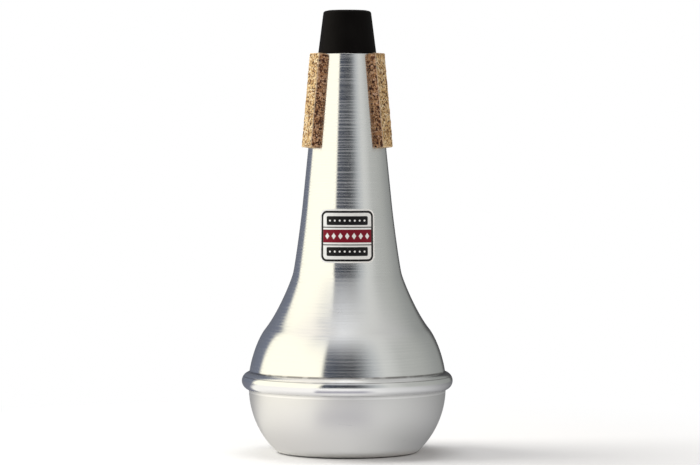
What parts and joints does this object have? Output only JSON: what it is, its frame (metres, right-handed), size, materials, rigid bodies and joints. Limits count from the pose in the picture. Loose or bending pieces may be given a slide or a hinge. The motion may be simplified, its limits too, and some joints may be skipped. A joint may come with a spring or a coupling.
{
  "type": "straight mute",
  "caption": "Straight mute for a tenor trombone: spun aluminium cone and cup joined by a rolled bead, with rubber tip, cork strips and a plain label.",
  "frame": {"origin": "centre of the flat end that the mute stands on", "axes": "+Z along the mute's axis from the flat end to the rubber tip, -Y towards the label, +X to the right as seen from the label's side"},
  "size_m": [0.1196, 0.1196, 0.25],
  "materials": {
    "spun_aluminium": "spun and polished round the axis, with fine turned lines",
    "satin_aluminium": "satin, lightly brushed round the axis",
    "black_rubber": "smooth moulded, dull sheen",
    "cork": "cut agglomerated cork, open grain with dark specks",
    "printed_label": "glossy printed sticker"
  },
  "bodies": {
    "root": {"cone_body": "spun_aluminium", "base_cup": "satin_aluminium", "rubber_tip": "black_rubber", "cork_left": "cork", "cork_right": "cork", "cork_back": "cork", "label": "printed_label"}
  },
  "joints": []
}
